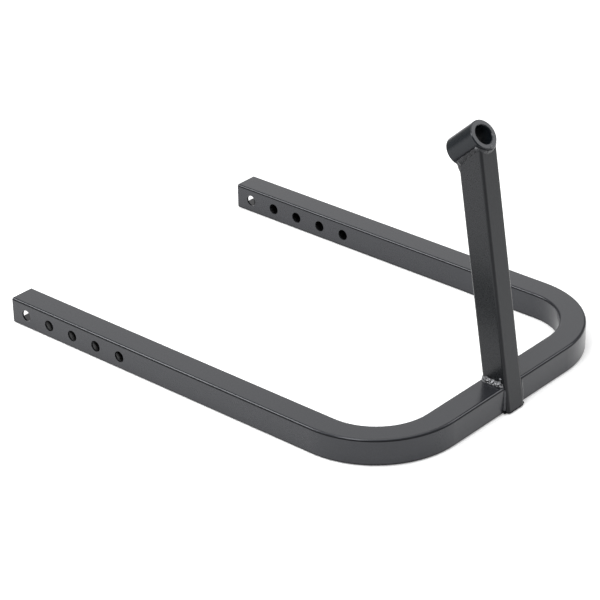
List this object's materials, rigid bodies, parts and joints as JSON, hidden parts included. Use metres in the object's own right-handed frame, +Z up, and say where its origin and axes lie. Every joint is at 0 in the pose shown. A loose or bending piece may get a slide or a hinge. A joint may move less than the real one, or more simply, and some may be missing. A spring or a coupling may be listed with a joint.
{
  "type": "paddock stand",
  "caption": "Upper frame of a front paddock stand: a U of bent square tube with pinned legs, and a leaning post that carries a slanted pin boss.",
  "frame": {"origin": "on the ground, in the middle of the overall length and width", "axes": "+X from the legs' open ends towards the crossbar, +Y across the legs, +Z up, away from the ground"},
  "size_m": [0.5314, 0.39, 0.3035],
  "materials": {
    "frame_coat": "satin charcoal powder coat",
    "post_coat": "satin charcoal powder coat",
    "boss_coat": "satin charcoal powder coat",
    "weld_coat": "powder coat over rippled weld"
  },
  "bodies": {
    "root": {"u_frame": "frame_coat", "post": "post_coat", "pin_boss": "boss_coat", "weld_base_left": "weld_coat", "weld_base_right": "weld_coat", "weld_base_rear": "weld_coat", "weld_foot_left": "weld_coat", "weld_foot_right": "weld_coat", "weld_foot_toe": "weld_coat", "weld_saddle_left": "weld_coat", "weld_saddle_right": "weld_coat", "weld_boss_rear": "weld_coat", "weld_boss_front": "weld_coat"}
  },
  "joints": []
}
